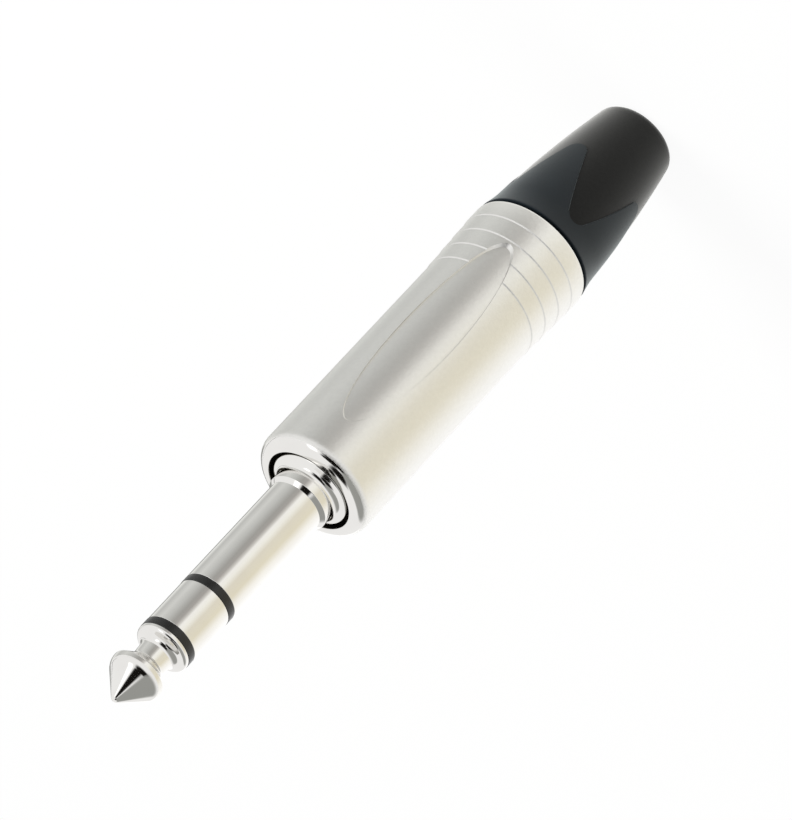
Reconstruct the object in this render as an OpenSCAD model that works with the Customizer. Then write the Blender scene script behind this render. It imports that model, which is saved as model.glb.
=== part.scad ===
// Straight three-pole 6.35 mm jack plug with a screw-on gland and a rubber boot.
// Z is the plug's axis. It stands on the boot's rear rim, and the tip points up.
// Every turned piece is a closed outline of [radius, height, corner radius] points.

/* [Finger] */
// Diameter of the finger, the part that goes into the socket
finger_d = 6.35; // [6.2:0.05:6.4]
// Length of the finger, from the step behind its barrel to the point of the tip
finger_len = 31.4; // [30:0.1:34]
// Length of the tip contact, from its point to the first insulating collar
tip_len = 8.65; // [8.5:0.05:9.2]
// Length of each insulating collar
collar_len = 1; // [0.6:0.05:1.4]
// Length of the ring contact between the two collars
ring_len = 5.85; // [5:0.05:7]
// Step between the collars and the metal of the tip and ring, on the radius
collar_step = 0.03; // [0:0.01:0.08]

/* [Tip] */
// Angle of the tip's cone from the axis
tip_angle = 39.6; // [38:0.2:42]
// Radius of the rounded point
point_r = 0.45; // [0.3:0.05:0.6]
// Length of the straight land behind the cone
land_len = 0.65; // [0.4:0.05:0.8]
// Angle of the head's back slope from the axis, where the socket's spring latches
back_angle = 45; // [40:1:52]
// Diameter of the neck
neck_d = 3.76; // [3.4:0.02:4]
// Diameter at the root of the flange behind the neck
root_d = 4.7; // [4.4:0.1:5]
// Distance from the first collar forward to the root of the flange
root_len = 0.95; // [0.8:0.05:1.1]
// Length of the flange's straight rim
rim_len = 0.35; // [0.2:0.05:0.45]

/* [Contact tubes] */
// Diameter of the tip contact's rod
rod_d = 1.8; // [1.4:0.1:2]
// Wall of the insulating tubes
tube_wall = 0.4; // [0.3:0.05:0.5]
// Wall of the ring contact's metal tube
ring_wall = 0.4; // [0.3:0.05:0.5]
// Radial clearance between the nested tubes
nest_gap = 0.02; // [0.01:0.01:0.05]

/* [Shoulder] */
// Distance from the shell's front face to the step behind the barrel
shoulder_rise = 2.4; // [2:0.1:3]
// Height of the small step behind the barrel, on the radius
step_rise = 0.425; // [0.3:0.025:0.6]
// Length of the small step, with its chamfer
step_len = 2.2; // [1.8:0.1:2.3]
// Width of the shoulder from the small step to its rim, on the radius
shoulder_w = 1.15; // [1:0.05:1.5]
// Height of the shoulder's rim below the shell's front face
rim_drop = 0.25; // [0.1:0.05:0.5]
// Width of the groove between the shoulder and the shell
moat_w = 0.4; // [0.3:0.05:0.6]
// Depth of that groove
moat_depth = 1.2; // [0.8:0.1:1.6]
// Thickness of the flange that bears on the inside of the shell's nose
flange_t = 1.6; // [1.2:0.1:2]
// Length of the spigot that the contact carrier sits on
spigot_len = 3.6; // [2.5:0.1:4.5]

/* [Shell] */
// Length of the shell
shell_len = 40.3; // [38:0.1:44]
// Wall of the shell round the contacts
shell_wall = 1.15; // [1.05:0.05:1.4]
// Height of the stepped grip band over the smooth front, on the radius
band_rise = 0.35; // [0.2:0.05:0.4]
// Length of the grip band
band_len = 9.6; // [9:0.1:11]
// Number of small steps down along the grip band
steps = 4; // [2:1:4]
// Distance from one step to the next
steps_pitch = 2.35; // [2:0.05:2.4]
// Radius of the shell's rounded front edge
nose_r = 1.6; // [1.2:0.1:1.65]
// Thickness of the front wall
nose_wall = 3.6; // [3:0.1:4]
// Width of the lip that the finger bears on inside the nose, on the radius
nose_lip = 0.6; // [0.4:0.05:0.8]
// Width of the two key slots inside the shell
key_w = 1.8; // [1.4:0.1:2.2]
// Depth of the key slots, on the radius
key_depth = 0.5; // [0.4:0.05:0.55]
// Direction of the first key slot about the axis
key_turn = 108; // [90:1:125]

/* [Oval recess] */
// Length of the oval recess in the shell
oval_len = 29.4; // [24:0.2:30]
// Width of the oval recess, straight across
oval_w = 6.2; // [4:0.1:7]
// Depth of the recess at the smooth front of the shell
oval_depth = 0.16; // [0.1:0.02:0.2]
// Height of its centre above the shell's rear rim
oval_rise = 20.1; // [19.5:0.1:20.5]
// Direction of its centre about the axis
oval_turn = 18; // [0:1:40]

/* [Contact carrier and lugs] */
// Clearance round the carrier and the chuck, on the radius
cavity_gap = 0.15; // [0.1:0.05:0.25]
// Wall of the carrier round the finger's spigot
carrier_wall = 1.4; // [1.2:0.1:1.6]
// Length of the carrier
carrier_len = 7.6; // [6.5:0.1:9]
// Thickness of the sheet that the lugs are cut from
lug_t = 0.4; // [0.3:0.05:0.5]
// Width of a lug's tail
lug_w = 2.4; // [2:0.1:2.8]
// Length of the tails of the tip and ring lugs
tail_len = 8; // [6:0.2:8.4]
// Distance from the axis to the inside of those tails
tail_offset = 2.7; // [2.6:0.05:3]
// Diameter of the wire hole near the end of each tail
eyelet_d = 1.3; // [1:0.1:1.4]
// Thickness of the insulating washer between the two lugs
washer_t = 0.7; // [0.5:0.1:1]
// Diameter of the riveted end of the tip rod
rivet_d = 2.8; // [2.4:0.1:3.2]
// Height of that riveted end
rivet_t = 0.5; // [0.4:0.05:0.6]

/* [Chuck] */
// Distance from the shell's rear rim to the thin end of the jaws
chuck_rise = 1.5; // [1.2:0.1:2]
// Gap between the chuck and the lugs' tails
wire_gap = 0.6; // [0.4:0.1:2]
// Length of the slope from the jaws up to the chuck's ring
ring_slope = 1; // [0.6:0.1:1.2]
// Number of slots between the chuck's jaws
jaws = 4; // [3:1:6]
// Width of those slots
slot_w = 1.1; // [0.8:0.1:1.4]
// Wall of a jaw at its thin end
jaw_wall = 0.7; // [0.6:0.05:0.75]
// Number of gripping ridges inside the jaws
ridges = 4; // [2:1:5]
// Distance from one ridge to the next
ridge_pitch = 1.4; // [1.2:0.1:1.8]
// Height of a ridge
ridge_h = 0.16; // [0.1:0.02:0.2]
// Clearance between the jaws and the gland's cone
chuck_gap = 0.12; // [0.08:0.02:0.2]

/* [Gland] */
// Height of the shell's thread bore over the space inside the shell, on the radius
thread_step = 0.3; // [0.2:0.05:0.4]
// Clearance between the two threads, on the radius
thread_gap = 0.08; // [0.05:0.01:0.1]
// Wall of the gland's spigot at its mouth
mouth_wall = 0.75; // [0.6:0.05:0.9]
// How far the gland's cone closes on the chuck, on the radius
cone_taper = 0.9; // [0.6:0.05:1.1]
// Length of the threaded spigot
thread_len = 8; // [7.6:0.1:9]
// Thickness of the gland's flange
gland_flange_t = 0.85; // [0.7:0.05:1.2]
// Wall of the crown around the boot
crown_wall = 1.3; // [1:0.1:1.5]
// Length of the crown's closed band behind the seam
crown_band = 3.3; // [3:0.1:3.6]
// Length of the crown to the points of its tongues
crown_len = 11.86; // [11:0.02:13]
// Radius of a tongue's rounded point
tongue_r = 1.3; // [1:0.05:1.4]
// Angle of a tongue's edges from its middle line
tongue_angle = 21; // [19:0.5:22]
// Angle between the two tongues on each side of the wide gap
tongue_spread = 98; // [92:1:100]
// Direction of the wide gap about the axis
crown_turn = -9; // [-30:1:30]
// Radius of the round end of the wide gap between two tongues
wide_gap_r = 1.45; // [1.3:0.05:1.6]
// Distance from the seam to the end of the wide gap
wide_gap_rise = 2.4; // [2.3:0.1:2.8]
// Radius of the round end of the narrow gap
slim_gap_r = 1.1; // [1:0.05:1.2]
// Distance from the seam to the end of the narrow gap
slim_gap_rise = 4.2; // [4:0.1:4.3]
// Gap between the shell's rear rim and the gland's flange
seam_gap = 0.15; // [0.1:0.05:0.25]

/* [Boot] */
// Length of the boot and crown behind the shell
boot_len = 20.5; // [19:0.1:23]
// How far the boot's skin starts inside the shell's rear rim, on the radius
skin_drop = 0.36; // [0.3:0.02:0.5]
// Wall of the boot at its rear end, with the crown's step
tail_wall = 1.28; // [1.2:0.02:1.5]
// How far the skin bulges over a straight cone, halfway along
skin_bulge = 0.39; // [0.2:0.01:0.45]
// Radius of the boot's rounded rear edge
tail_round = 0.7; // [0.4:0.05:0.75]
// How far the crown stands out of the rubber
crown_proud = 0.12; // [0.1:0.02:0.2]

/* [Hidden] */
$fn = 96;
over = 1;
corner_steps = 6;

// Small edges, slopes and run-outs
edge = 0.2;
rim_inset = 0.06;
step_slope = 0.08;
crown_edge = 0.4;
bore_run = 0.6;
step_edge = 0.45;
contact_edge = 0.06;
thread_runout = 0.5;
thread_relief = 0.45;
relief_len = 0.8;
root_r = 0.25;
neck_blend = 0.8;
head_r = 0.45;

// Small clearances inside
key_gap = 0.1;
chuck_key_gap = 0.15;
chuck_key_short = 0.3;
chuck_edge = 0.3;
tail_gap = 0.1;
wire_way = 0.2;
funnel_w = 0.7;
funnel_len = 1.5;
ground_gap = 0.65;
ground_short = 1;

// Heights
seam_z = boot_len;
nose_z = seam_z + shell_len;
step_z = nose_z + shoulder_rise;
point_z = step_z + finger_len;
tip_z = point_z - tip_len;
ring_top_z = tip_z - collar_len;
ring_z = ring_top_z - ring_len;
barrel_z = ring_z - collar_len;
nose_in_z = nose_z - nose_wall;
flange_z = nose_in_z - flange_t;
ground_z = flange_z - lug_t;
carrier_z = ground_z - carrier_len;
ring_lug_z = carrier_z - lug_t;
washer_z = ring_lug_z - washer_t;
tip_lug_z = washer_z - lug_t;
rivet_z = tip_lug_z - rivet_t;
flange_top_z = seam_z - seam_gap;
shoulder_z = flange_top_z - gland_flange_t;
thread_z = flange_top_z + thread_len;
tail_low_z = tip_lug_z - tail_len;
chuck_z = seam_z + chuck_rise;
chuck_top_z = tail_low_z - wire_gap;
jaw_z = thread_z + (chuck_top_z - thread_z) * 0.54;

// Radii
finger_r = finger_d / 2;
contact_r = finger_r - collar_step;
rod_r = rod_d / 2;
tip_tube_r = rod_r + nest_gap + tube_wall;
ring_bore_r = tip_tube_r + nest_gap;
ring_tube_in_r = ring_bore_r + ring_wall + nest_gap;
ring_tube_r = ring_tube_in_r + tube_wall;
barrel_bore_r = ring_tube_r + nest_gap;
step_r = finger_r + step_rise;
shoulder_r = step_r + shoulder_w;
nose_bore_r = shoulder_r + moat_w;
cavity_r = nose_bore_r + nose_lip;
shell_r = cavity_r + shell_wall;
rear_r = shell_r + band_rise;
thread_bore_r = cavity_r + thread_step;
carrier_r = cavity_r - cavity_gap;
spigot_r = carrier_r - carrier_wall;
ground_tail_r = spigot_r + ground_gap;
lug_r = tail_offset - tail_gap;
key_r = cavity_r + key_depth;
thread_r = thread_bore_r - thread_gap;
cone_out_r = thread_r - mouth_wall;
cone_in_r = cone_out_r - cone_taper;
cable_r = cone_in_r - chuck_gap - jaw_wall;
crown_r = rear_r - rim_inset;
skin_r = rear_r - skin_drop;
tail_r = cable_r + tail_wall;

// Places along the crown, and the ground lug's direction about the axis
shoulder_drop = seam_gap + gland_flange_t;
crown_lap = 0.35;
flare_len = 3.2;
slim_root = slim_gap_rise + 0.6 * slim_gap_r;
ground_turn = key_turn + 90;

// Arc that replaces corner q of the path p, q, s
function fillet(p, q, s, r) =
    let (u = (p - q) / norm(p - q),
         v = (s - q) / norm(s - q),
         half = acos(u * v) / 2,
         c = q + (u + v) / norm(u + v) * r / sin(half),
         a = q + u * r / tan(half) - c,
         b = q + v * r / tan(half) - c,
         side = sign(a[0] * b[1] - a[1] * b[0]))
    [for (i = [0:corner_steps])
        let (w = side * (180 - 2 * half) * i / corner_steps)
        c + [a[0] * cos(w) - a[1] * sin(w), a[0] * sin(w) + a[1] * cos(w)]];

// Closed outline from [radius, height, corner radius] points
function outline(path) =
    let (n = len(path), at = [for (p = path) [p[0], p[1]]])
    [for (i = [0:n - 1])
        each is_undef(path[i][2]) ? [at[i]] : fillet(at[(i + n - 1) % n], at[i], at[(i + 1) % n], path[i][2])];

// Radius of the boot's skin at a distance behind the seam
function skin(d) =
    let (t = d / boot_len)
    skin_r + (tail_r - skin_r) * t + 4 * skin_bulge * t * (1 - t);

// Stretch of the skin between two distances, sunk by a depth
function skin_path(d0, d1, sink) =
    [for (i = [0:8]) let (d = d0 + (d1 - d0) * i / 8) [skin(d) - sink, seam_z - d]];

module turned(path) {
    rotate_extrude() polygon(outline(path));
}

module tube(r_in, r_out, z0, z1) {
    turned([[r_in, z0], [r_out, z0], [r_out, z1], [r_in, z1]]);
}

// Flat shape in the plane across the radius, pushed outwards from the axis in one direction
module radial(turn, from, to) {
    rotate([0, 0, turn]) translate([from, 0, 0]) rotate([90, 0, 90]) linear_extrude(to - from) children();
}

// Two opposite bars that fit, or cut, the shell's key slots
module keys(w, r, z0, z1) {
    for (side = [0, 180])
        radial(key_turn + side, cavity_r - 2, r) translate([-w / 2, z0]) square([w, z1 - z0]);
}

module shell() {
    color("#bdbab2") difference() {
        turned([
            [thread_bore_r + edge, seam_z],
            [rear_r - edge, seam_z],
            [rear_r, seam_z + edge],
            for (i = [1:steps])
                let (up = band_len - (steps - i) * steps_pitch, drop = band_rise / steps)
                each [[rear_r - (i - 1) * drop, seam_z + up - step_slope], [rear_r - i * drop, seam_z + up]],
            [shell_r, nose_z, nose_r],
            [nose_bore_r, nose_z],
            [nose_bore_r, nose_in_z],
            [cavity_r, nose_in_z],
            [cavity_r, thread_z + 2 * bore_run],
            [thread_bore_r, thread_z + bore_run],
            [thread_bore_r, seam_z + edge]]);
        difference() {
            translate([0, 0, seam_z + oval_rise]) rotate([0, 0, oval_turn])
                scale([1, oval_w / oval_len, 1]) rotate([0, 90, 0]) cylinder(d = oval_len, h = 2 * rear_r);
            cylinder(r = shell_r - oval_depth, h = nose_z);
        }
        keys(key_w, key_r, seam_z - over, nose_in_z);
    }
}

module sleeve_contact() {
    seat_r = nose_bore_r - nest_gap;
    rim_z = nose_z - rim_drop;
    color("#cfccc4") turned([
        [barrel_bore_r, flange_z - spigot_len],
        [spigot_r, flange_z - spigot_len],
        [spigot_r, flange_z],
        [carrier_r, flange_z],
        [carrier_r, nose_in_z],
        [seat_r, nose_in_z],
        [seat_r, nose_z - moat_depth],
        [shoulder_r, nose_z - moat_depth],
        [shoulder_r, rim_z, edge],
        [step_r, step_z - step_len, 2 * step_edge],
        [step_r, step_z - step_edge, edge / 2],
        [finger_r, step_z],
        [finger_r, barrel_z],
        [barrel_bore_r, barrel_z]]);
}

module ring_collar() {
    color("#161616") tube(ring_tube_in_r, finger_r, barrel_z, ring_z);
}

module ring_tube() {
    color("#161616") tube(ring_tube_in_r, ring_tube_r, carrier_z, barrel_z);
}

module ring_contact() {
    color("#cfccc4") turned([
        [ring_bore_r, ring_lug_z],
        [ring_bore_r + ring_wall, ring_lug_z],
        [ring_bore_r + ring_wall, ring_z],
        [contact_r, ring_z, contact_edge],
        [contact_r, ring_top_z, contact_edge],
        [ring_bore_r, ring_top_z]]);
}

module tip_collar() {
    color("#161616") tube(rod_r + nest_gap, finger_r, ring_top_z, tip_z);
}

module tip_tube() {
    color("#161616") tube(rod_r + nest_gap, tip_tube_r, ring_lug_z, ring_top_z);
}

module tip_contact() {
    apex_z = point_z - point_r + point_r / sin(tip_angle);
    cone_z = apex_z - contact_r / tan(tip_angle);
    neck_r = neck_d / 2;
    back_z = cone_z - land_len;
    neck_z = back_z - (contact_r - neck_r) / tan(back_angle);
    color("#cfccc4") {
        turned([
            [0, rivet_z],
            [rivet_d / 2, rivet_z, edge],
            [rivet_d / 2, tip_lug_z],
            [rod_r, tip_lug_z],
            [rod_r, tip_z],
            [contact_r, tip_z, contact_edge],
            [contact_r, tip_z + rim_len, contact_edge],
            [root_d / 2, tip_z + root_len, root_r],
            [neck_r, (neck_z + tip_z + root_len) / 2, neck_blend],
            [neck_r, neck_z, root_r],
            [contact_r, back_z, root_r],
            [contact_r, cone_z, head_r],
            [point_r * cos(tip_angle), point_z - point_r + point_r * sin(tip_angle)],
            for (i = [1:corner_steps])
                let (a = tip_angle + (90 - tip_angle) * i / corner_steps)
                [point_r * cos(a), point_z - point_r + point_r * sin(a)]]);
    }
}

module contact_carrier() {
    color("#26282a") difference() {
        union() {
            tube(barrel_bore_r, carrier_r, carrier_z, ground_z);
            difference() {
                keys(key_w - 2 * key_gap, key_r - key_gap, carrier_z, ground_z);
                cylinder(r = carrier_r - edge, h = nose_z);
            }
        }
        translate([0, 0, flange_z - spigot_len]) cylinder(r = spigot_r + nest_gap, h = nose_z);
        radial(ground_turn, ground_tail_r - tail_gap, cavity_r)
            translate([-lug_w / 2 - tail_gap, carrier_z - over])
                square([lug_w + 2 * tail_gap, carrier_len + 2 * over]);
    }
}

// Rear end of a lug's tail: a strip with a round end and a wire hole
module tail_shape(len) {
    difference() {
        union() {
            translate([-lug_w / 2, lug_w / 2]) square([lug_w, len - lug_w / 2]);
            translate([0, lug_w / 2]) circle(d = lug_w);
        }
        translate([0, lug_w / 2]) circle(d = eyelet_d);
    }
}

module ground_lug() {
    low_z = tail_low_z + ground_short;
    color("#c9b98e") {
        tube(spigot_r + nest_gap, carrier_r - tail_gap, ground_z, flange_z);
        radial(ground_turn, ground_tail_r, ground_tail_r + lug_t)
            translate([0, low_z]) tail_shape(ground_z - low_z);
    }
}

// Washer on the axis with a tail bent back beside the wires
module lug(hole_r, z, low_z, turn) {
    color("#c9b98e") {
        difference() {
            union() {
                translate([0, 0, z]) cylinder(r = lug_r, h = lug_t);
                rotate([0, 0, turn]) translate([0, -lug_w / 2, z]) cube([tail_offset + lug_t, lug_w, lug_t]);
            }
            translate([0, 0, z - over]) cylinder(r = hole_r, h = lug_t + 2 * over);
        }
        radial(turn, tail_offset, tail_offset + lug_t) translate([0, low_z]) tail_shape(z - low_z);
    }
}

module ring_lug() {
    lug(ring_bore_r + ring_wall + nest_gap, ring_lug_z, tail_low_z, key_turn);
}

module lug_washer() {
    color("#e4e0d4") tube(rod_r + nest_gap, lug_r, washer_z, ring_lug_z);
}

module tip_lug() {
    lug(rod_r + nest_gap, tip_lug_z, tail_low_z, key_turn + 180);
}

module chuck() {
    thin_r = cable_r + jaw_wall;
    thick_r = cone_out_r - chuck_gap;
    wire_r = cable_r + wire_way;
    color("#e8e4d8") {
        difference() {
            turned([
                [cable_r, chuck_z],
                [thin_r, chuck_z, edge],
                [thick_r, thread_z, neck_blend],
                [thick_r, jaw_z - ring_slope],
                [carrier_r, jaw_z],
                [carrier_r, chuck_top_z, chuck_edge],
                [wire_r + funnel_w, chuck_top_z],
                [wire_r, chuck_top_z - funnel_len],
                [wire_r, chuck_z + ridge_pitch * (ridges + 0.5)],
                for (i = [ridges - 1:-1:0])
                    each [[cable_r + ridge_h, chuck_z + ridge_pitch * (i + 1)],
                          [cable_r, chuck_z + ridge_pitch * (i + 0.3)]]]);
            for (i = [0:jaws - 1])
                radial(key_turn + 45 + i * 360 / jaws, 0, cavity_r) {
                    translate([-slot_w / 2, chuck_z - over]) square([slot_w, jaw_z - chuck_z - ring_slope]);
                    translate([0, jaw_z - ring_slope - over]) circle(d = slot_w);
                }
        }
        difference() {
            keys(key_w - 2 * chuck_key_gap, key_r - chuck_key_gap, jaw_z + chuck_key_short,
                 chuck_top_z - chuck_key_short);
            cylinder(r = carrier_r - edge, h = nose_z);
        }
    }
}

// One tongue of the crown, its point at the origin and its root up
module tongue_shape() {
    low = tongue_r - tongue_r * sin(tongue_angle);
    high = crown_len - crown_band + over;
    half = tongue_r * cos(tongue_angle);
    wide = half + (high - low) * tan(tongue_angle);
    translate([0, tongue_r]) circle(r = tongue_r);
    polygon([[-half, low], [half, low], [wide, high], [-wide, high]]);
}

// Hard crown: a band behind the seam and four tongues, cut from one curved wall
module crown() {
    root = shoulder_drop - crown_lap;
    difference() {
        intersection() {
            turned(concat(
                [[skin(root) - crown_wall, seam_z - root],
                 [crown_r, seam_z - root],
                 [crown_r, seam_z - root - crown_edge]],
                skin_path(flare_len, crown_len, 0),
                [for (i = [8:-1:1])
                    let (d = root + (crown_len - root) * i / 8)
                    [skin(d) - crown_wall, seam_z - d]]));
            union() {
                translate([0, 0, seam_z - crown_band]) cylinder(r = 2 * rear_r, h = crown_band);
                for (side = [0, 180], half = [-1, 1])
                    radial(crown_turn + side + half * tongue_spread / 2, 1, 2 * rear_r)
                        translate([0, seam_z - crown_len]) tongue_shape();
                for (side = [0, 180])
                    radial(crown_turn + 90 + side, 1, 2 * rear_r)
                        translate([-slim_gap_r, seam_z - slim_root]) square([2 * slim_gap_r, slim_root]);
            }
        }
        for (side = [0, 180]) {
            radial(crown_turn + side, 1, 2 * rear_r)
                translate([0, seam_z - wide_gap_rise - wide_gap_r]) circle(r = wide_gap_r);
            radial(crown_turn + 90 + side, 1, 2 * rear_r)
                translate([0, seam_z - slim_gap_rise - slim_gap_r]) circle(r = slim_gap_r);
        }
    }
}

module gland_nut() {
    relief_r = thread_r - thread_relief;
    color("#232a30") {
        turned([
            [cable_r + wire_way, shoulder_z],
            [crown_r, shoulder_z],
            [crown_r, flange_top_z - edge],
            [crown_r - edge, flange_top_z],
            [relief_r, flange_top_z],
            [relief_r, flange_top_z + relief_len],
            [thread_r, flange_top_z + relief_len + thread_relief],
            [thread_r, thread_z - thread_runout],
            [relief_r, thread_z],
            [cone_out_r, thread_z],
            [cone_in_r, chuck_z],
            [cable_r + wire_way, chuck_z - bore_run]]);
        crown();
    }
}

module boot() {
    color("#2b2b2b") difference() {
        turned(concat(
            [[cable_r, shoulder_z],
             [cable_r, edge],
             [cable_r + edge, 0],
             [skin(boot_len) - crown_proud, 0, tail_round]],
            skin_path(boot_len - 2 * tail_round, shoulder_drop, crown_proud)));
        crown();
    }
}

shell();
sleeve_contact();
ring_collar();
ring_tube();
ring_contact();
tip_collar();
tip_tube();
tip_contact();
contact_carrier();
ground_lug();
ring_lug();
lug_washer();
tip_lug();
chuck();
gland_nut();
boot();
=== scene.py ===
import math

import bpy
from mathutils import Matrix, Vector


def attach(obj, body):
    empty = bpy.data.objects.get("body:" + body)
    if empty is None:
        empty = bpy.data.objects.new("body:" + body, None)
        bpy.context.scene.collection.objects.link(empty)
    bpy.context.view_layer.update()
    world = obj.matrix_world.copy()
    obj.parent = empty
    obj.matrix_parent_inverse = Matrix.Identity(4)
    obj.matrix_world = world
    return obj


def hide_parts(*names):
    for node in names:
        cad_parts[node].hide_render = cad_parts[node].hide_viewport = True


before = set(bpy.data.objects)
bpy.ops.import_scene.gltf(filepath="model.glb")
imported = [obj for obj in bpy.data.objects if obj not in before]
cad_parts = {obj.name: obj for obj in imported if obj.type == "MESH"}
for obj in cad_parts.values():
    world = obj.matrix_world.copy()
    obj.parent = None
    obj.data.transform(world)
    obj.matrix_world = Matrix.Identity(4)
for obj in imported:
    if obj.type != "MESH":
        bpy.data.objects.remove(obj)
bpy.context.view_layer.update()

# Camera
# The plug stands on its boot and the photograph is turned so that it lies
# from upper right to lower left. The camera is a long lens 0.75 m away.
eye = Vector((0.64126, 0.0, 0.44142))
look = Vector((-0.8513, -0.00125, -0.5246)).normalized()
level = look.cross(Vector((0, 0, 1))).normalized()
above = level.cross(look)
roll_cos = -0.7328
roll_sin = -0.6804
right = roll_cos * level + roll_sin * above
up = right.cross(-look) * -1
bpy.ops.object.select_all(action="DESELECT")
bpy.ops.object.camera_add()
camera = bpy.context.object
camera.matrix_world = Matrix.Translation(eye) @ Matrix((right, up, -look)).transposed().to_4x4()
camera.data.lens = 314.83
camera.data.sensor_width = 36
camera.data.clip_start = 0.01
camera.data.clip_end = 20
bpy.context.scene.camera = camera

# Shell
# A turned brass sleeve, blasted and nickel plated to a pale satin. Its nose
# is polished, its grip band steps down four times, a shallow oval is sunk
# in one side, and the gland's thread is cut in its rear.
mm = 0.001
seam_z = 20.5
nose_z = 60.8
flange_z = 57.2
shell_r = 6.9
shell_bore_r = 5.75
nose_bore_r = 5.15
thread_r = 6.05
thread_low_z = 20.7
thread_high_z = 28.95
thread_ring = 0.08
band_rise = 0.35
band_len = 9.6
band_steps = 4
band_pitch = 2.35
oval_z = 40.6
oval_half_len = 14.7
oval_half_width = 3.1
oval_floor_r = 6.74
oval_turn = 18
slot_len = 37.7
slot_width = 1.8
slot_low_z = 19.5
slot_turn = 108
shell_steps = 256


def arc(centre, radius, start, end, count):
    return [(centre[0] + radius * math.cos(math.radians(start + (end - start) * i / count)),
             centre[1] + radius * math.sin(math.radians(start + (end - start) * i / count)))
            for i in range(count + 1)]


def rounded(points, count=5):
    """Replaces each (radius, height, corner radius) corner of a closed outline by an arc."""
    path = []
    for i, point in enumerate(points):
        here = Vector(point[:2])
        if len(point) == 2:
            path.append(tuple(here))
            continue
        back = (Vector(points[i - 1][:2]) - here).normalized()
        on = (Vector(points[(i + 1) % len(points)][:2]) - here).normalized()
        half = back.angle(on) / 2
        centre = here + (back + on).normalized() * point[2] / math.sin(half)
        first = here + back * point[2] / math.tan(half) - centre
        sweep = first.angle_signed(here + on * point[2] / math.tan(half) - centre)
        path += [tuple(centre + Matrix.Rotation(-sweep * k / count, 2) @ first) for k in range(count + 1)]
    return path


def turn(name, path, steps=192):
    """Draws an outline point by point from one vertex and spins it about the axis."""
    bpy.ops.object.select_all(action="DESELECT")
    bpy.ops.mesh.primitive_plane_add(size=mm)
    piece = bpy.context.object
    piece.name = name
    piece.data.name = name
    bpy.ops.object.mode_set(mode="EDIT")
    bpy.ops.mesh.merge(type="CENTER")
    at = (0.0, 0.0)
    for i, point in enumerate(path + path[:1]):
        step = ((point[0] - at[0]) * mm, 0, (point[1] - at[1]) * mm)
        if i == 0:
            bpy.ops.transform.translate(value=step)
        else:
            bpy.ops.mesh.extrude_vertices_move(TRANSFORM_OT_translate={"value": step})
        at = point
    bpy.ops.mesh.select_all(action="SELECT")
    bpy.ops.mesh.remove_doubles(threshold=2e-7)
    bpy.ops.mesh.select_all(action="SELECT")
    bpy.ops.mesh.spin(steps=steps, angle=2 * math.pi, center=(0, 0, 0), axis=(0, 0, 1), use_auto_merge=True)
    bpy.ops.mesh.select_all(action="SELECT")
    bpy.ops.mesh.remove_doubles(threshold=2e-7)
    bpy.ops.mesh.normals_make_consistent(inside=False)
    bpy.ops.object.mode_set(mode="OBJECT")
    return piece


def modify(piece, kind, **settings):
    bpy.ops.object.select_all(action="DESELECT")
    piece.select_set(True)
    bpy.context.view_layer.objects.active = piece
    modifier = piece.modifiers.new(kind.lower(), kind)
    for key, value in settings.items():
        setattr(modifier, key, value)
    bpy.ops.object.modifier_apply(modifier=modifier.name)


def cut(piece, tool):
    modify(piece, "BOOLEAN", operation="DIFFERENCE", object=tool, solver="EXACT")
    bpy.data.objects.remove(tool)


def turn_about_axis(piece, degrees):
    piece.rotation_euler.z = math.radians(degrees)
    bpy.ops.object.select_all(action="DESELECT")
    piece.select_set(True)
    bpy.context.view_layer.objects.active = piece
    bpy.ops.object.transform_apply(location=True, rotation=True, scale=True)


def polish_edges(piece, angle=32):
    """Smooth shading up to an angle, weighted so that flats stay flat beside small roundings."""
    bpy.ops.object.select_all(action="DESELECT")
    piece.select_set(True)
    bpy.context.view_layer.objects.active = piece
    bpy.ops.object.shade_smooth_by_angle(angle=math.radians(angle))
    modify(piece, "WEIGHTED_NORMAL", keep_sharp=True, weight=60)


def helix(piece, inner, outer, low, high, depth, inward=True, pitch=1.0):
    """Moves the rings between two heights in and out to a 60 degree thread."""
    run_out = 0.8
    for vertex in piece.data.vertices:
        x, y, z = vertex.co / mm
        r = math.hypot(x, y)
        if low <= z <= high and inner < r < outer:
            turn_share = (z / pitch - math.atan2(y, x) / (2 * math.pi)) % 1
            ridge = max(0.0, min(1.0, 1.25 - 2.9 * abs(turn_share - 0.5)))
            fade = min(1.0, (z - low) / run_out, (high - z) / run_out)
            sink = depth * (1 - ridge) * max(0.0, fade)
            scale = (r - sink if inward else r + sink) / r
            vertex.co = (x * scale * mm, y * scale * mm, z * mm)


rear_r = shell_r + band_rise
step_drop = band_rise / band_steps
outline = [(6.25, seam_z), (rear_r, seam_z, 0.34)]
for i in range(band_steps):
    step_z = seam_z + band_len - (band_steps - 1 - i) * band_pitch
    outline += [(rear_r - i * step_drop, step_z - 0.14, 0.05), (rear_r - (i + 1) * step_drop, step_z, 0.05)]
outline += [(shell_r, nose_z, 1.6), (nose_bore_r, nose_z, 0.08), (nose_bore_r, flange_z)]
outline += [(shell_bore_r, flange_z), (shell_bore_r, thread_high_z + 0.6), (thread_r, thread_high_z)]
outline += [(thread_r, thread_high_z - k * thread_ring) for k in range(1, 103)] + [(thread_r, thread_low_z)]
shell = turn("shell_sleeve", rounded(outline, 8), shell_steps)
helix(shell, thread_r - 0.05, thread_r + 0.05, thread_low_z, thread_high_z - 0.05, depth=0.26, inward=False)

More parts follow.
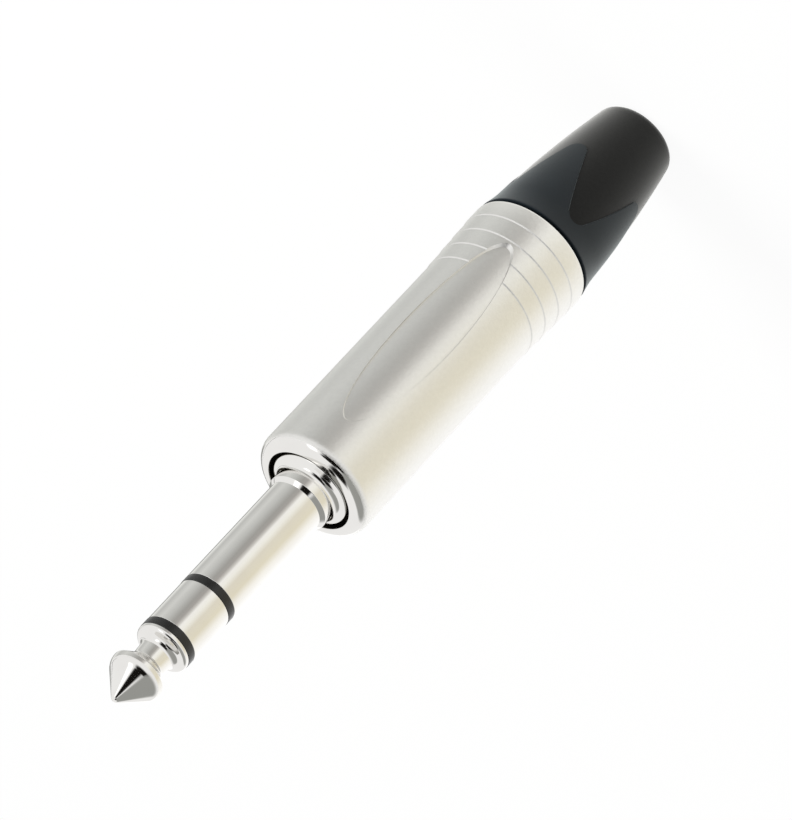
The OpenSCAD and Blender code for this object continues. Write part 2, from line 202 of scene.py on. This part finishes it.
# The oval is cut by a flattened cone, which gives it a sloped edge, less a
# round core, which leaves its floor parallel to the shell.
cone_low = 4.0
cone_high = 10.0
edge_slope = 1.35
side_dip = 0.74
bpy.ops.object.select_all(action="DESELECT")
bpy.ops.mesh.primitive_cone_add(
    vertices=192, radius1=(oval_half_len - (shell_r - cone_low) * edge_slope) * mm,
    radius2=(oval_half_len + (cone_high - shell_r) * edge_slope) * mm, depth=(cone_high - cone_low) * mm,
    location=(0, 0, 0), rotation=(0, math.radians(90), 0))
oval = bpy.context.object
bpy.ops.object.transform_apply(location=True, rotation=True, scale=True)
flatten = oval_half_width / (oval_half_len - side_dip * edge_slope)
bpy.ops.transform.resize(value=(1, flatten, 1), center_override=(0, 0, 0))
bpy.ops.transform.translate(value=((cone_low + cone_high) / 2 * mm, 0, oval_z * mm))
bpy.ops.object.transform_apply(location=True, rotation=True, scale=True)
turn_about_axis(oval, oval_turn)
core = turn("core", [(0, 10), (oval_floor_r, 10), (oval_floor_r, 70), (0, 70)], shell_steps)
cut(oval, core)
cut(shell, oval)

# Two slots inside hold the keys of the carrier and the chuck.
for side in (0, 180):
    bpy.ops.object.select_all(action="DESELECT")
    bpy.ops.mesh.primitive_cube_add(size=mm, location=(0, 0, 0))
    slot = bpy.context.object
    bpy.ops.transform.resize(value=(2.5, slot_width, slot_len), center_override=(0, 0, 0))
    bpy.ops.transform.translate(value=(5.0 * mm, 0, (slot_low_z + slot_len / 2) * mm))
    bpy.ops.object.transform_apply(location=True, rotation=True, scale=True)
    turn_about_axis(slot, slot_turn + side)
    cut(shell, slot)
polish_edges(shell)


def linear(hex_colour):
    """sRGB hex to the linear colour that Blender's sockets take."""
    parts = [int(hex_colour[i:i + 2], 16) / 255 for i in (1, 3, 5)]
    return tuple(p / 12.92 if p <= 0.04045 else ((p + 0.055) / 1.055) ** 2.4 for p in parts) + (1.0,)


def add(tree, kind, inputs=None, **settings):
    """Adds one node with its settings, and sets or links its inputs."""
    made = tree.nodes.new(kind)
    for key, value in settings.items():
        setattr(made, key, value)
    for key, value in (inputs or {}).items():
        if isinstance(value, bpy.types.NodeSocket):
            tree.links.new(value, made.inputs[key])
        else:
            made.inputs[key].default_value = value
    return made


def start(name):
    """A new node material, its tree and its object coordinates."""
    finish = bpy.data.materials.new(name)
    finish.use_nodes = True
    finish.node_tree.nodes.clear()
    tree = finish.node_tree
    return finish, tree, add(tree, "ShaderNodeTexCoord").outputs["Object"]


# Nickel plate over blasted brass: fine even pits, about 0.1 mm apart, give a
# soft silver-grey sheen. The pits are drawn at 0.3 mm, so that they show.
satin_nickel, tree, place = start("satin_nickel_blasted_plate")
pits = add(tree, "ShaderNodeTexNoise", {"Vector": place, "Scale": 3600.0, "Detail": 3.0, "Roughness": 0.6})
cloud = add(tree, "ShaderNodeTexNoise", {"Vector": place, "Scale": 2200.0, "Detail": 4.0, "Roughness": 0.7})
tone = add(tree, "ShaderNodeMix", {0: cloud.outputs["Fac"], 6: linear("#E0DFDC"), 7: linear("#EDECE9")},
           data_type="RGBA")
sheen = add(tree, "ShaderNodeMapRange", {"Value": pits.outputs["Fac"], "To Min": 0.30, "To Max": 0.42})
relief = add(tree, "ShaderNodeBump", {"Height": pits.outputs["Fac"], "Strength": 0.5, "Distance": 0.00004})
metal = add(tree, "ShaderNodeBsdfPrincipled", {"Base Color": tone.outputs[2], "Metallic": 1.0,
            "Roughness": sheen.outputs["Result"], "Normal": relief.outputs["Normal"]})
add(tree, "ShaderNodeOutputMaterial", {"Surface": metal.outputs["BSDF"]})

# Nickel plate over turned brass, buffed: a near mirror, with turning lines
# about 0.05 mm apart drawn at 0.15 mm, which draw its reflections out a little.
polished_nickel, tree, place = start("polished_nickel_turned_plate")
height = add(tree, "ShaderNodeSeparateXYZ", {"Vector": place}).outputs["Z"]
lines = add(tree, "ShaderNodeTexNoise", {"W": height, "Scale": 6500.0, "Detail": 2.0}, noise_dimensions="1D")
smear = add(tree, "ShaderNodeTexNoise", {"Vector": place, "Scale": 350.0, "Detail": 3.0})
tone = add(tree, "ShaderNodeMix", {0: smear.outputs["Fac"], 6: linear("#E4E2DF"), 7: linear("#ECEBE8")},
           data_type="RGBA")
blur = add(tree, "ShaderNodeMapRange", {"Value": smear.outputs["Fac"], "To Min": 0.05, "To Max": 0.11})
relief = add(tree, "ShaderNodeBump", {"Height": lines.outputs["Fac"], "Strength": 0.03, "Distance": 0.000003})
metal = add(tree, "ShaderNodeBsdfPrincipled", {"Base Color": tone.outputs[2], "Metallic": 1.0,
            "Roughness": blur.outputs["Result"], "Normal": relief.outputs["Normal"]})
add(tree, "ShaderNodeOutputMaterial", {"Surface": metal.outputs["BSDF"]})

# Nickel plate deep in the groove round the shoulder: dull, and darkened as painted
# shade for the groove's depth, mottled in patches about 0.7 mm wide.
groove_nickel_painted_shade, tree, place = start("nickel_darkened_as_painted_groove_shade")
shade_patches = add(tree, "ShaderNodeTexNoise", {"Vector": place, "Scale": 1500.0, "Detail": 3.0})
tone = add(tree, "ShaderNodeMix", {0: shade_patches.outputs["Fac"], 6: linear("#3A372E"), 7: linear("#6B675A")},
           data_type="RGBA")
metal = add(tree, "ShaderNodeBsdfPrincipled", {"Base Color": tone.outputs[2], "Metallic": 1.0,
            "Roughness": 0.35})
add(tree, "ShaderNodeOutputMaterial", {"Surface": metal.outputs["BSDF"]})

shell.data.materials.append(satin_nickel)
shell.data.materials.append(polished_nickel)
shell.data.materials.append(groove_nickel_painted_shade)

# The nose and the rear rim are buffed bright, and the nose's bore is darkened as painted shade.
nose_from_z = 59.0
for face in shell.data.polygons:
    r = math.hypot(face.center.x, face.center.y) / mm
    z = face.center.z / mm
    on_nose = z > nose_from_z and face.normal.z > math.sin(math.radians(30)) or z > nose_z - 0.1
    on_rear_rim = z < seam_z + 0.4 and r > shell_r and face.normal.z < -0.2
    if on_nose or on_rear_rim:
        face.material_index = 1
    # Painted shade: the bore inside the nose gets the darkened groove nickel.
    if r < nose_bore_r + 0.05 and z < nose_z - 0.1:
        face.material_index = 2
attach(shell, "shell_and_finger")
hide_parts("shell")

# Sleeve contact
# The finger's barrel and its shoulder, turned in one piece from brass and
# nickel plated to a polish. The shell's nose holds its flange.
finger_r = 3.175
sleeve_bore_r = 2.58
ring_collar_z = 78.1
sleeve = turn("sleeve_barrel", rounded([
    (sleeve_bore_r, 52.0), (4.2, 52.0), (4.2, 55.6), (5.6, 55.6), (5.6, flange_z), (5.13, flange_z),
    (5.13, 58.8), (4.7, 58.8), (4.7, 60.6, 0.3), (3.6, 61.0, 0.9), (3.6, 62.75, 0.12), (finger_r, 63.2, 0.05),
    (finger_r, ring_collar_z, 0.05), (sleeve_bore_r, ring_collar_z)], 6))
polish_edges(sleeve)
sleeve.data.materials.append(polished_nickel)
sleeve.data.materials.append(groove_nickel_painted_shade)
# Painted shade: the faces of the groove round the shoulder get the darkened nickel.
for face in sleeve.data.polygons:
    if math.hypot(face.center.x, face.center.y) > 4.6 * mm and face.center.z < 60.3 * mm:
        face.material_index = 1
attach(sleeve, "shell_and_finger")
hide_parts("sleeve_contact")

# Insulating collars
# Two rings of glossy black acetal part the three contacts. Behind each, a
# thin tube of the same acetal insulates the rods inside the finger.
collar_len = 1.0
tip_collar_z = 84.95
black_acetal, tree, place = start("black_acetal_turned_gloss")
mottle = add(tree, "ShaderNodeTexNoise", {"Vector": place, "Scale": 1800.0, "Detail": 3.0})
tone = add(tree, "ShaderNodeMix", {0: mottle.outputs["Fac"], 6: linear("#0E0E0E"), 7: linear("#181817")},
           data_type="RGBA")
blur = add(tree, "ShaderNodeMapRange", {"Value": mottle.outputs["Fac"], "To Min": 0.22, "To Max": 0.34})
relief = add(tree, "ShaderNodeBump", {"Height": mottle.outputs["Fac"], "Strength": 0.1, "Distance": 0.00001})
plastic = add(tree, "ShaderNodeBsdfPrincipled", {"Base Color": tone.outputs[2], "IOR": 1.48,
              "Roughness": blur.outputs["Result"], "Normal": relief.outputs["Normal"]})
add(tree, "ShaderNodeOutputMaterial", {"Surface": plastic.outputs["BSDF"]})

for name, node, inner, low in (("ring_collar_band", "ring_collar", 2.16, ring_collar_z),
                               ("tip_collar_band", "tip_collar", 0.92, tip_collar_z)):
    high = low + collar_len
    edge = [(inner, low), (finger_r, low, 0.04), (finger_r, high, 0.04), (inner, high)]
    collar = turn(name, rounded(edge, 4))
    polish_edges(collar)
    collar.data.materials.append(black_acetal)
    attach(collar, "shell_and_finger")
    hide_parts(node)
for node in ("ring_tube", "tip_tube"):
    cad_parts[node].data.materials[0] = black_acetal

# Ring contact
# The middle contact, a turned and polished nickel-plated band between the
# two collars, drawn down to a thin tube that runs back inside the finger.
contact_r = 3.145
ring_z = ring_collar_z + collar_len
ring = turn("ring_band", rounded([
    (1.34, 47.2), (1.74, 47.2), (1.74, ring_z), (contact_r, ring_z, 0.06), (contact_r, tip_collar_z, 0.06),
    (1.34, tip_collar_z)], 5))
polish_edges(ring)
ring.data.materials.append(polished_nickel)
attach(ring, "shell_and_finger")
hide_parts("ring_contact")

# Tip contact
# The tip and its rod, turned in one piece from brass and polished: a cone
# with a rounded point, a short land, a back slope, the neck that a socket's
# spring drops into, and a flange. The rod is riveted over the tip lug.
top_z = 94.6
point_r = 0.6
cone_half = 39.6
rod_r = 0.9
rivet_z = 46.1
tip_z = tip_collar_z + collar_len
apex = top_z - point_r + point_r / math.sin(math.radians(cone_half))
cone_z = apex - contact_r / math.tan(math.radians(cone_half))
back_z = cone_z - 0.65
neck_z = back_z - 1.465
tip = turn("tip_rod", rounded([
    (0, 45.6), (1.4, 45.6, 0.2), (1.4, rivet_z), (rod_r, rivet_z), (rod_r, tip_z), (contact_r, tip_z, 0.06),
    (contact_r, tip_z + 0.55, 0.5), (1.95, tip_z + 1.03, 1.0), (1.84, neck_z, 0.7),
    (contact_r, back_z - 0.16, 0.3), (contact_r, cone_z, 1.9)]
    + arc((0, top_z - point_r), point_r, cone_half, 90, 12)[:-1] + [(0, top_z)], 14), 256)
polish_edges(tip)
tip.data.materials.append(polished_nickel)
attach(tip, "shell_and_finger")
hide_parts("tip_contact")

# Carrier
# Behind the finger a moulded black carrier fills the shell, with two keys
# in the shell's slots, so that the solder lugs can't turn.
carrier_nylon, tree, place = start("black_nylon_moulded_satin")
grain = add(tree, "ShaderNodeTexNoise", {"Vector": place, "Scale": 4000.0, "Detail": 2.0})
tone = add(tree, "ShaderNodeMix", {0: grain.outputs["Fac"], 6: linear("#1B1C1E"), 7: linear("#26282A")},
           data_type="RGBA")
relief = add(tree, "ShaderNodeBump", {"Height": grain.outputs["Fac"], "Strength": 0.2, "Distance": 0.00002})
plastic = add(tree, "ShaderNodeBsdfPrincipled", {"Base Color": tone.outputs[2], "Roughness": 0.5,
              "Normal": relief.outputs["Normal"]})
add(tree, "ShaderNodeOutputMaterial", {"Surface": plastic.outputs["BSDF"]})
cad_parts["contact_carrier"].data.materials[0] = carrier_nylon

# Solder lugs
# Three lugs blanked from tinned brass sheet, with wire holes in their tails,
# and a pale fibre washer that parts the tip lug from the ring lug.
tinned_brass, tree, place = start("tinned_brass_sheet_dull")
rolled = add(tree, "ShaderNodeMapping", {"Vector": place, "Scale": (1, 1, 0.08)})
streaks = add(tree, "ShaderNodeTexNoise", {"Vector": rolled.outputs["Vector"], "Scale": 3000.0,
              "Detail": 3.0})
tone = add(tree, "ShaderNodeMix", {0: streaks.outputs["Fac"], 6: linear("#B9AE8E"), 7: linear("#D4CDB6")},
           data_type="RGBA")
blur = add(tree, "ShaderNodeMapRange", {"Value": streaks.outputs["Fac"], "To Min": 0.28, "To Max": 0.42})
metal = add(tree, "ShaderNodeBsdfPrincipled", {"Base Color": tone.outputs[2], "Metallic": 1.0,
            "Roughness": blur.outputs["Result"]})
add(tree, "ShaderNodeOutputMaterial", {"Surface": metal.outputs["BSDF"]})
for node in ("ground_lug", "ring_lug", "tip_lug"):
    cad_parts[node].data.materials[0] = tinned_brass

fibre, tree, place = start("vulcanised_fibre_pale_matt")
specks = add(tree, "ShaderNodeTexNoise", {"Vector": place, "Scale": 2500.0, "Detail": 4.0})
tone = add(tree, "ShaderNodeMix", {0: specks.outputs["Fac"], 6: linear("#D9D3C3"), 7: linear("#EAE6DA")},
           data_type="RGBA")
sheet = add(tree, "ShaderNodeBsdfPrincipled", {"Base Color": tone.outputs[2], "Roughness": 0.75})
add(tree, "ShaderNodeOutputMaterial", {"Surface": sheet.outputs["BSDF"]})
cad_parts["lug_washer"].data.materials[0] = fibre

# Chuck
# A natural acetal chuck slides in the shell on two keys. The gland's cone
# closes its four jaws on the cable.
chuck_acetal, tree, place = start("natural_acetal_moulded_satin")
haze = add(tree, "ShaderNodeTexNoise", {"Vector": place, "Scale": 900.0, "Detail": 2.0})
tone = add(tree, "ShaderNodeMix", {0: haze.outputs["Fac"], 6: linear("#DDD9CC"), 7: linear("#EAE7DC")},
           data_type="RGBA")
blur = add(tree, "ShaderNodeMapRange", {"Value": haze.outputs["Fac"], "To Min": 0.38, "To Max": 0.5})
plastic = add(tree, "ShaderNodeBsdfPrincipled", {"Base Color": tone.outputs[2],
              "Roughness": blur.outputs["Result"], "Subsurface Weight": 0.15, "Subsurface Scale": 1.0,
              "Subsurface Radius": (0.0008, 0.0008, 0.0007)})
add(tree, "ShaderNodeOutputMaterial", {"Surface": plastic.outputs["BSDF"]})
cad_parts["chuck"].data.materials[0] = chuck_acetal

# Gland nut
# A hard blue-black plastic nut that screws into the shell's rear. Behind its
# flange a crown of four pointed tongues grips the soft boot like a hand.
seam_skin_r = 6.89
end_skin_r = 4.78
skin_bow = 0.39
crown_r = 7.18
crown_wall = 1.3
crown_band = 3.02
crown_len = 11.86
crown_turn = -9
tongue_end_r = 1.3
tongue_slope = 21
tongue_spread = 49
wide_gap_r = 1.09
wide_gap_z = seam_z - 3.49
slim_gap_r = 1.0
slim_gap_z = seam_z - 5.2
root_half_width = 1.1
root_z = seam_z - 4.8
flare_len = 3.2
flare_rise = 0.3
nut_bore_r = 3.7
nut_core_r = 5.52
nut_thread_r = 5.97
nut_thread_low_z = 21.45
nut_thread_high_z = 27.85
nut_top_z = 28.35


def skin(drop):
    """Outer radius of crown and boot at a drop below the seam: a taper, bowed out a little."""
    share = drop / seam_z
    return seam_skin_r + (end_skin_r - seam_skin_r) * share + 4 * skin_bow * share * (1 - share)


def prism(name, points, angle, inner=1, outer=15):
    """A flat outline of (across, height) points, pushed outwards from the axis in one direction."""
    bpy.ops.object.select_all(action="DESELECT")
    bpy.ops.mesh.primitive_plane_add(size=mm)
    piece = bpy.context.object
    piece.name = name
    bpy.ops.object.mode_set(mode="EDIT")
    bpy.ops.mesh.merge(type="CENTER")
    at = (0.0, 0.0)
    for i, point in enumerate(points + points[:1]):
        step = (inner * mm if i == 0 else 0, (point[0] - at[0]) * mm, (point[1] - at[1]) * mm)
        if i == 0:
            bpy.ops.transform.translate(value=step)
        else:
            bpy.ops.mesh.extrude_vertices_move(TRANSFORM_OT_translate={"value": step})
        at = point
    bpy.ops.mesh.select_all(action="SELECT")
    bpy.ops.mesh.remove_doubles(threshold=2e-7)
    bpy.ops.mesh.select_all(action="SELECT")
    bpy.ops.mesh.edge_face_add()
    bpy.ops.mesh.extrude_region_move(TRANSFORM_OT_translate={"value": ((outer - inner) * mm, 0, 0)})
    bpy.ops.mesh.select_all(action="SELECT")
    bpy.ops.mesh.normals_make_consistent(inside=False)
    bpy.ops.object.mode_set(mode="OBJECT")
    turn_about_axis(piece, angle)
    return piece


def cut_crown(piece):
    """Leaves four tongues below the band, and rounds the ends of the gaps between them."""
    band_low_z = seam_z - crown_band
    below = turn("below", [(0, -2), (16, -2), (16, band_low_z), (0, band_low_z)], 64)
    slope = math.radians(tongue_slope)
    point_z = seam_z - crown_len
    low = tongue_end_r - tongue_end_r * math.sin(slope)
    high = crown_len - crown_band + 1
    wide = tongue_end_r * math.cos(slope) + (high - low) * math.tan(slope)
    tongue = [(wide, point_z + high), (-wide, point_z + high)]
    tongue += arc((0, point_z + tongue_end_r), tongue_end_r, 180 + tongue_slope, 360 - tongue_slope, 16)
    root = [(root_half_width, root_z), (root_half_width, seam_z), (-root_half_width, seam_z),
            (-root_half_width, root_z)]
    for side in (0, 180):
        for spread in (-tongue_spread, tongue_spread):
            cut(below, prism("tongue", tongue, crown_turn + side + spread))
        cut(below, prism("root", root, crown_turn + 90 + side))
    cut(piece, below)
    for side in (0, 180):
        cut(piece, prism("gap", arc((0, wide_gap_z), wide_gap_r, 0, 360, 48)[:-1], crown_turn + side))
        cut(piece, prism("gap", arc((0, slim_gap_z), slim_gap_r, 0, 360, 40)[:-1], crown_turn + 90 + side))


# The crown's skin flares out a little towards the seam. Its tongues are cut
# from a plain turned skirt.
drops = [crown_len * k / 24 for k in range(25)]
crown_in = [(skin(d) - crown_wall, seam_z - d) for d in drops if d > 1.0]
crown_out = [(skin(d), seam_z - d) for d in reversed(drops) if d > flare_len]
flare = [(skin(d) + flare_rise * (1 - (d - 0.3) / (flare_len - 0.3)) ** 2, seam_z - d)
         for d in (3.0, 2.6, 2.2, 1.8, 1.4, 1.0, 0.65)]
thread = [(nut_thread_r, nut_thread_low_z + thread_ring * k) for k in range(80)]
thread.append((nut_thread_r, nut_thread_high_z))
nut = turn("gland_crown", rounded(
    [(nut_bore_r, 21.4), (nut_bore_r, 19.5), (5.45, 19.5)] + crown_in + crown_out + flare
    + [(crown_r, 20.2, 0.1), (nut_core_r, 20.2), (nut_core_r, 21.15)] + thread
    + [(nut_core_r, nut_top_z), (5.22, nut_top_z), (4.32, 22.0)], 5))
helix(nut, nut_thread_r - 0.05, nut_thread_r + 0.05, nut_thread_low_z, nut_thread_high_z, depth=0.4)
cut_crown(nut)
polish_edges(nut, 40)

# Glass-filled nylon from a lightly sparked mould: blue-black, with a fine
# even grain of about 0.2 mm that breaks up its highlights.
gland_nylon, tree, place = start("blue_black_nylon_moulded")
grain = add(tree, "ShaderNodeTexNoise", {"Vector": place, "Scale": 5500.0, "Detail": 2.0})
cloud = add(tree, "ShaderNodeTexNoise", {"Vector": place, "Scale": 250.0, "Detail": 2.0})
tone = add(tree, "ShaderNodeMix", {0: cloud.outputs["Fac"], 6: linear("#0A1116"), 7: linear("#141D23")},
           data_type="RGBA")
blur = add(tree, "ShaderNodeMapRange", {"Value": grain.outputs["Fac"], "To Min": 0.36, "To Max": 0.5})
relief = add(tree, "ShaderNodeBump", {"Height": grain.outputs["Fac"], "Strength": 0.2, "Distance": 0.00002})
plastic = add(tree, "ShaderNodeBsdfPrincipled", {"Base Color": tone.outputs[2],
              "Roughness": blur.outputs["Result"], "Specular IOR Level": 0.25, "Sheen Weight": 0.6,
              "Sheen Roughness": 0.3, "Sheen Tint": linear("#E8F4F6"), "Normal": relief.outputs["Normal"]})
add(tree, "ShaderNodeOutputMaterial", {"Surface": plastic.outputs["BSDF"]})
nut.data.materials.append(gland_nylon)
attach(nut, "gland_and_boot")
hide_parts("gland_nut")

# Boot
# A soft black rubber sleeve, moulded into the crown, that bends with the
# cable. It tapers to a rounded rear edge round the cable's hole.
boot_bore_r = 3.5
proud = 0.12
drops = [1.0 + 18.1 * k / 40 for k in range(41)]
boot = turn("boot_sleeve", rounded(
    [(boot_bore_r, 19.5), (boot_bore_r, 0.0, 0.3), (skin(seam_z) - proud, 0.0, 1.1)]
    + [(skin(d) - proud, seam_z - d) for d in reversed(drops)], 6))

# What the tongues fill is cut out of the boot, with the same outline.
drops = [1, 4, 7, 10, crown_len]
wall = turn("wall", [(skin(d) - crown_wall, seam_z - d) for d in drops]
            + [(skin(d) + 1, seam_z - d) for d in reversed(drops)])
cut_crown(wall)
cut(boot, wall)
polish_edges(boot, 40)

# Matt black rubber (TPE): almost no gloss, with a faint mould grain of
# 0.2 mm, mottled in tone, and a painted sheen: its colour turns light grey at grazing angles.
boot_rubber, tree, place = start("black_rubber_moulded_matt")
grain = add(tree, "ShaderNodeTexNoise", {"Vector": place, "Scale": 4500.0, "Detail": 3.0, "Roughness": 0.6})
mottle = add(tree, "ShaderNodeTexNoise", {"Vector": place, "Scale": 2600.0, "Detail": 4.0, "Roughness": 0.7})
tone = add(tree, "ShaderNodeMix", {0: mottle.outputs["Fac"], 6: linear("#080808"), 7: linear("#191918")},
           data_type="RGBA")
blur = add(tree, "ShaderNodeMapRange", {"Value": grain.outputs["Fac"], "To Min": 0.42, "To Max": 0.6})
relief = add(tree, "ShaderNodeBump", {"Height": grain.outputs["Fac"], "Strength": 0.35, "Distance": 0.00004})
# Painted sheen: the colour is mixed towards light grey where the surface turns away from the view.
facing = add(tree, "ShaderNodeLayerWeight", {"Blend": 0.5}).outputs["Facing"]
painted_grazing_sheen = add(tree, "ShaderNodeMath", {0: facing, 1: 3.0}, operation="POWER")
tone = add(tree, "ShaderNodeMix", {0: painted_grazing_sheen.outputs[0], 6: tone.outputs[2], 7: linear("#A6A6A4")},
           data_type="RGBA")
soft = add(tree, "ShaderNodeBsdfPrincipled", {"Base Color": tone.outputs[2],
           "Roughness": blur.outputs["Result"], "Specular IOR Level": 0.12, "Sheen Weight": 0.8,
           "Sheen Roughness": 0.27, "Sheen Tint": linear("#F4F4F2"), "Normal": relief.outputs["Normal"]})
add(tree, "ShaderNodeOutputMaterial", {"Surface": soft.outputs["BSDF"]})
boot.data.materials.append(boot_rubber)
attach(boot, "gland_and_boot")
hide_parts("boot")

# Studio
# A pale floor under a white surround, with one soft lamp on each side. Dark
# and grey cards that only reflections see give the metal its contrast.


def seen_directly(tree):
    """1 for camera, glossy and transmission rays, and 0 for the rest."""
    rays = add(tree, "ShaderNodeLightPath")
    seen = rays.outputs["Is Camera Ray"]
    for ray in ("Is Glossy Ray", "Is Transmission Ray"):
        seen = add(tree, "ShaderNodeMath", {0: seen, 1: rays.outputs[ray]}, operation="MAXIMUM").outputs[0]
    return seen


bpy.ops.object.select_all(action="DESELECT")
bpy.ops.mesh.primitive_plane_add(size=6.0)
floor = bpy.context.object
floor.name = "floor"
paper, tree = start("white_paper_floor")[:2]
share = add(tree, "ShaderNodeMath", {0: seen_directly(tree), 1: 0.93}, operation="MULTIPLY")
matt = add(tree, "ShaderNodeBsdfDiffuse", {"Color": linear("#E6E6E4")})
glow = add(tree, "ShaderNodeEmission", {"Color": (1, 1, 1, 1), "Strength": 1.0})
both = add(tree, "ShaderNodeMixShader", {0: share.outputs[0], 1: matt.outputs[0], 2: glow.outputs[0]})
add(tree, "ShaderNodeOutputMaterial", {"Surface": both.outputs[0]})
floor.data.materials.append(paper)

world = bpy.data.worlds.new("white_surround")
bpy.context.scene.world = world
world.use_nodes = True
tree = world.node_tree
tree.nodes.clear()
level_of = add(tree, "ShaderNodeMapRange", {"Value": seen_directly(tree), "To Min": 0.55, "To Max": 1.0})
sky = add(tree, "ShaderNodeBackground", {"Color": (1, 1, 1, 1), "Strength": level_of.outputs["Result"]})
add(tree, "ShaderNodeOutputWorld", {"Surface": sky.outputs[0]})


def only_reflected(made):
    made.visible_camera = False
    made.visible_diffuse = False
    made.visible_shadow = False
    made.visible_transmission = False


def card(name, corners, shade, strength=1.0):
    """A card with four corners in millimetres and soft edges, that only reflections see."""
    bpy.ops.object.select_all(action="DESELECT")
    bpy.ops.mesh.primitive_plane_add(size=mm)
    made = bpy.context.object
    made.name = name
    for vertex, corner in zip(made.data.vertices, corners):
        vertex.co = Vector(corner) * mm
    finish, tree = start(name + "_board")[:2]
    sheet = add(tree, "ShaderNodeTexCoord").outputs["UV"]
    across = add(tree, "ShaderNodeSeparateXYZ", {"Vector": sheet})
    sides = []
    for way in ("X", "Y"):
        here = across.outputs[way]
        other = add(tree, "ShaderNodeMath", {0: 1.0, 1: here}, operation="SUBTRACT").outputs[0]
        sides.append(add(tree, "ShaderNodeMath", {0: here, 1: other}, operation="MULTIPLY").outputs[0])
    middle = add(tree, "ShaderNodeMath", {0: sides[0], 1: sides[1]}, operation="MULTIPLY")
    fade = add(tree, "ShaderNodeMapRange", {"Value": middle.outputs[0], "From Min": 0.0, "From Max": 0.04},
               interpolation_type="SMOOTHSTEP")
    board = add(tree, "ShaderNodeEmission", {"Color": linear(shade), "Strength": strength})
    clear = add(tree, "ShaderNodeBsdfTransparent")
    both = add(tree, "ShaderNodeMixShader", {0: fade.outputs["Result"], 1: clear.outputs[0],
               2: board.outputs[0]})
    add(tree, "ShaderNodeOutputMaterial", {"Surface": both.outputs[0]})
    made.data.materials.append(finish)
    only_reflected(made)


# The dark cards draw the black wedge on the cone and the dark arcs on neck and
# nose, the grey card shades what lies to their right, the soft box lights what
# lies to their left, and the strip darkens the left outline.
card("front_card", [(300, -310, 180), (300, 215, 170), (300, -310, 480), (300, 215, 440)], "#171513")
card("high_card", [(300, -90, 330), (300, 215, 370), (250, -90, 500), (250, 215, 560)], "#171513")
card("top_card", [(290, -215, 480), (290, 30, 480), (-105, -215, 480), (-105, 30, 480)], "#171513")
card("side_card", [(360, -120, 120), (-330, -330, 40), (360, -120, 640), (-330, -330, 420)], "#A2A3A0")
card("soft_box", [(250, 210, 230), (140, 320, 230), (250, 210, 480), (140, 320, 480)], "#FFFFFF", 1.6)
# A dark strip that only reflections see, which paints a dark line along the left outline.
card("dark_outline_strip", [(-200, 433, 84), (-500, 100, 84), (-200, 433, 98), (-500, 100, 98)], "#5A5A58")

# The round card lies on the floor. Its shade changes round the plug, from
# white on the left and behind, over a warm pale side, to a grey side.
bpy.ops.object.select_all(action="DESELECT")
bpy.ops.mesh.primitive_circle_add(vertices=96, radius=0.6, fill_type="NGON", location=(0, 0, 0))
round_card = bpy.context.object
round_card.name = "round_card"
bpy.ops.transform.translate(value=(0, 0, mm))
bpy.ops.object.transform_apply(location=True, rotation=True, scale=True)
shaded, tree, place = start("shaded_round_board")
axes = add(tree, "ShaderNodeSeparateXYZ", {"Vector": place})
bearing = add(tree, "ShaderNodeMath", {0: axes.outputs["Y"], 1: axes.outputs["X"]}, operation="ARCTAN2")
share = add(tree, "ShaderNodeMapRange", {"Value": bearing.outputs[0], "From Min": -math.pi,
            "From Max": math.pi})
shades = add(tree, "ShaderNodeValToRGB", {"Fac": share.outputs["Result"]})
stops = shades.color_ramp.elements
stops[0].position, stops[0].color = 0.0, linear("#FFFFFF")
stops[1].position, stops[1].color = 1.0, linear("#9A9A98")
for degrees, shade in (
        (-125, "#FFFFFF"), (-92, "#F6F4EE"), (-62, "#E0DAC6"), (-28, "#DDD8C9"), (-8, "#F0EFE8"),
        (6, "#F2F1EE"), (14, "#CAC8C4"), (24, "#A5A29F"), (38, "#A09F9C"), (64, "#BDBEBC"),
        (92, "#D0D1CF"), (122, "#BCBDBB"), (148, "#E8E9E6"), (156, "#9A9B98"), (172, "#8A8A88")):
    stop = stops.new((degrees + 180) / 360)
    stop.color = linear(shade)
out = add(tree, "ShaderNodeVectorMath", {0: place}, operation="LENGTH")
near = add(tree, "ShaderNodeMapRange", {"Value": out.outputs["Value"], "From Min": 0.026,
           "From Max": 0.034, "To Min": 1.0, "To Max": 0.0})
shade = add(tree, "ShaderNodeMix", {0: near.outputs["Result"], 6: shades.outputs["Color"],
            7: linear("#F4F4F0")}, data_type="RGBA")
board = add(tree, "ShaderNodeEmission", {"Color": shade.outputs[2], "Strength": 1.2})
add(tree, "ShaderNodeOutputMaterial", {"Surface": board.outputs[0]})
round_card.data.materials.append(shaded)
only_reflected(round_card)


def lamp(name, place, power):
    """A soft square lamp half a metre wide, turned to the plug, that reflections don't see."""
    aim = Vector((0, 0, 0.04))
    bpy.ops.object.select_all(action="DESELECT")
    bpy.ops.object.light_add(type="AREA", location=place)
    made = bpy.context.object
    made.name = name
    made.rotation_euler = (aim - Vector(place)).to_track_quat("-Z", "Y").to_euler()
    made.data.size = 0.5
    made.data.energy = power
    made.visible_glossy = False


lamp("left_softbox", (0.0, -0.8, 0.5), 3.0)
lamp("right_softbox", (0.0, 0.8, 0.5), 10.0)

view = bpy.context.scene.view_settings
view.view_transform = "Standard"
